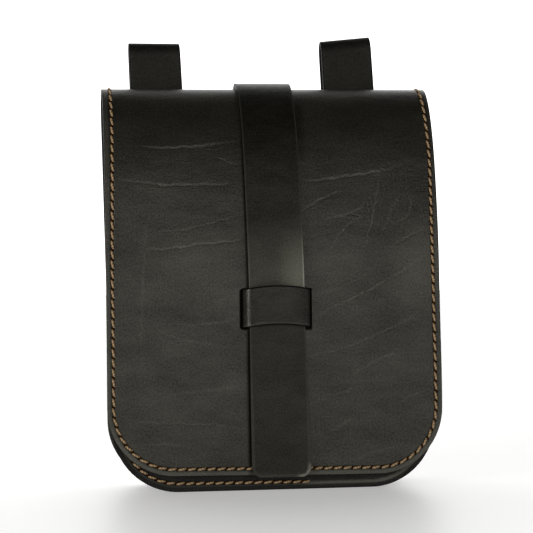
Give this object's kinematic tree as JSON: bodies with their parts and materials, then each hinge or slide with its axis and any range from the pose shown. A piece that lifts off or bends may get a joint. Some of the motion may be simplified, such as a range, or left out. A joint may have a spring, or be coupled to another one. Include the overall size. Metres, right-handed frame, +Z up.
{
  "type": "leather belt pouch",
  "caption": "Black leather belt pouch with a long stitched flap, a closing strap through a leather keeper, and belt loops at the back.",
  "frame": {"origin": "on the floor under the middle of the pouch's box, as it stands on its bottom edges", "axes": "+Z up, front with the flap facing -Y, belt loops behind at +Y, +X to the viewer's right"},
  "size_m": [0.181, 0.0688, 0.2485],
  "materials": {
    "flap_leather": "waxed black vegetable-tanned leather, semi-matt",
    "gusset_leather": "thinner black leather, matt",
    "strap_leather": "waxed black strap leather, satin with burnished edges",
    "loop_leather": "black leather, semi-matt",
    "thread": "waxed tan thread"
  },
  "bodies": {
    "root": {"back_and_flap": "flap_leather", "front_panel": "flap_leather", "gusset": "gusset_leather", "closing_strap": "strap_leather", "strap_keeper": "strap_leather", "belt_loop_left": "loop_leather", "belt_loop_right": "loop_leather"}
  },
  "joints": []
}
